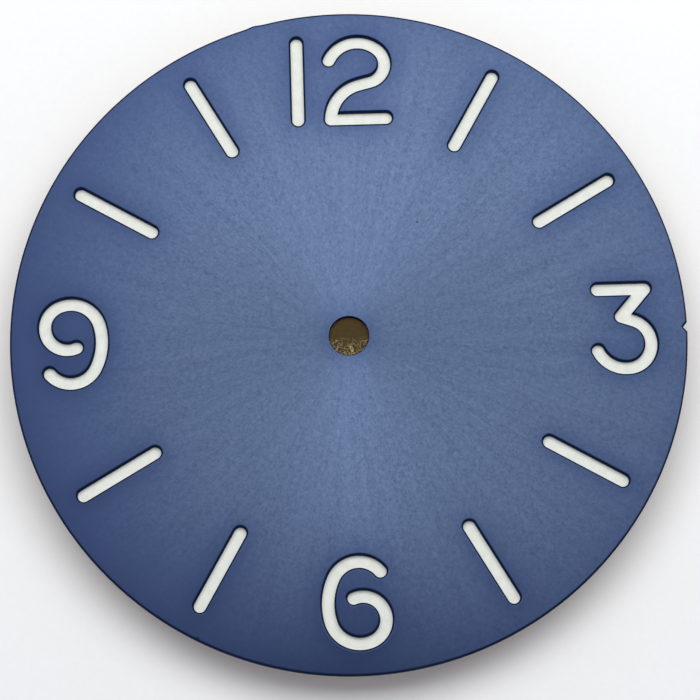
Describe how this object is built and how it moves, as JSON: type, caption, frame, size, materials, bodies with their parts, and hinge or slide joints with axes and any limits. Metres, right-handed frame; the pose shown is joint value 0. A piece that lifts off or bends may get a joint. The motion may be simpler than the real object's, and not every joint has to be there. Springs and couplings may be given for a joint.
{
  "type": "watch dial",
  "caption": "Round blue sunburst watch dial in two layers, with cut-through 12, 3, 6 and 9, pale luminous markers, a centre hole and feet on the back.",
  "frame": {"origin": "centre of the dial in the plane of its back, which rests on the movement", "axes": "+Z out of the face, +Y to 12 o'clock, +X to 3 o'clock"},
  "size_m": [0.0388, 0.0388, 0.0031],
  "materials": {
    "blue_lacquer": "blue sunburst lacquer",
    "adhesive_film": "thin adhesive film",
    "plate_brass": "plain rolled brass",
    "luminous_compound": "matt pale green-white",
    "foot_copper": "turned copper",
    "tin_solder": "dull solder"
  },
  "bodies": {
    "root": {"face_plate": "blue_lacquer", "bonding_film": "adhesive_film", "base_plate": "plate_brass", "lume_one_of_twelve": "luminous_compound", "lume_two_of_twelve": "luminous_compound", "lume_three": "luminous_compound", "lume_six": "luminous_compound", "lume_nine": "luminous_compound", "lume_baton_01": "luminous_compound", "lume_baton_02": "luminous_compound", "lume_baton_04": "luminous_compound", "lume_baton_05": "luminous_compound", "lume_baton_07": "luminous_compound", "lume_baton_08": "luminous_compound", "lume_baton_10": "luminous_compound", "lume_baton_11": "luminous_compound", "dial_foot_upper": "foot_copper", "solder_upper": "tin_solder", "dial_foot_lower": "foot_copper", "solder_lower": "tin_solder"}
  },
  "joints": []
}
